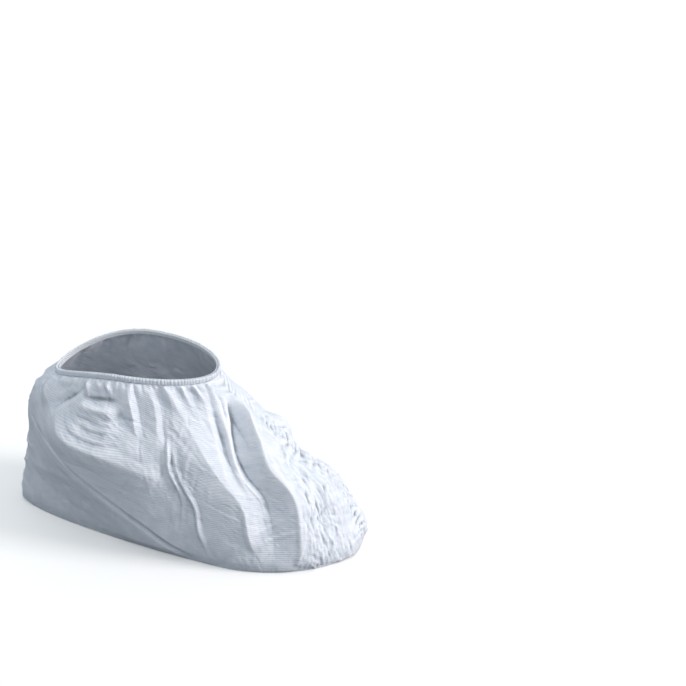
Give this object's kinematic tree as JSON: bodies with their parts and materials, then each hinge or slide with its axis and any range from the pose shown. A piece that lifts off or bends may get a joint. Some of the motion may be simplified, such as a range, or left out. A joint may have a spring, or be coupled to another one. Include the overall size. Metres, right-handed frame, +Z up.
{
  "type": "shoe cover",
  "caption": "Disposable overshoe of white nonwoven cloth, open at a gathered ankle hem, with a seam down the instep, under the sole and up the heel.",
  "frame": {"origin": "centre of the bounding box at its bottom, on the floor under the middle of the sole", "axes": "+X to the toe, +Y to the inner side of the foot, +Z up"},
  "size_m": [0.2967, 0.1244, 0.1542],
  "materials": {
    "cloth": "white spunbond nonwoven, matte with a slight sheen, fine embossed ribs",
    "seam": "overlocked edge of the same cloth with white thread",
    "elastic": "white braided elastic"
  },
  "bodies": {
    "root": {"side_panel_outer": "cloth", "side_panel_inner": "cloth", "front_seam": "seam", "sole_seam": "seam", "heel_seam": "seam", "ankle_hem": "cloth", "ankle_elastic": "elastic"}
  },
  "joints": []
}
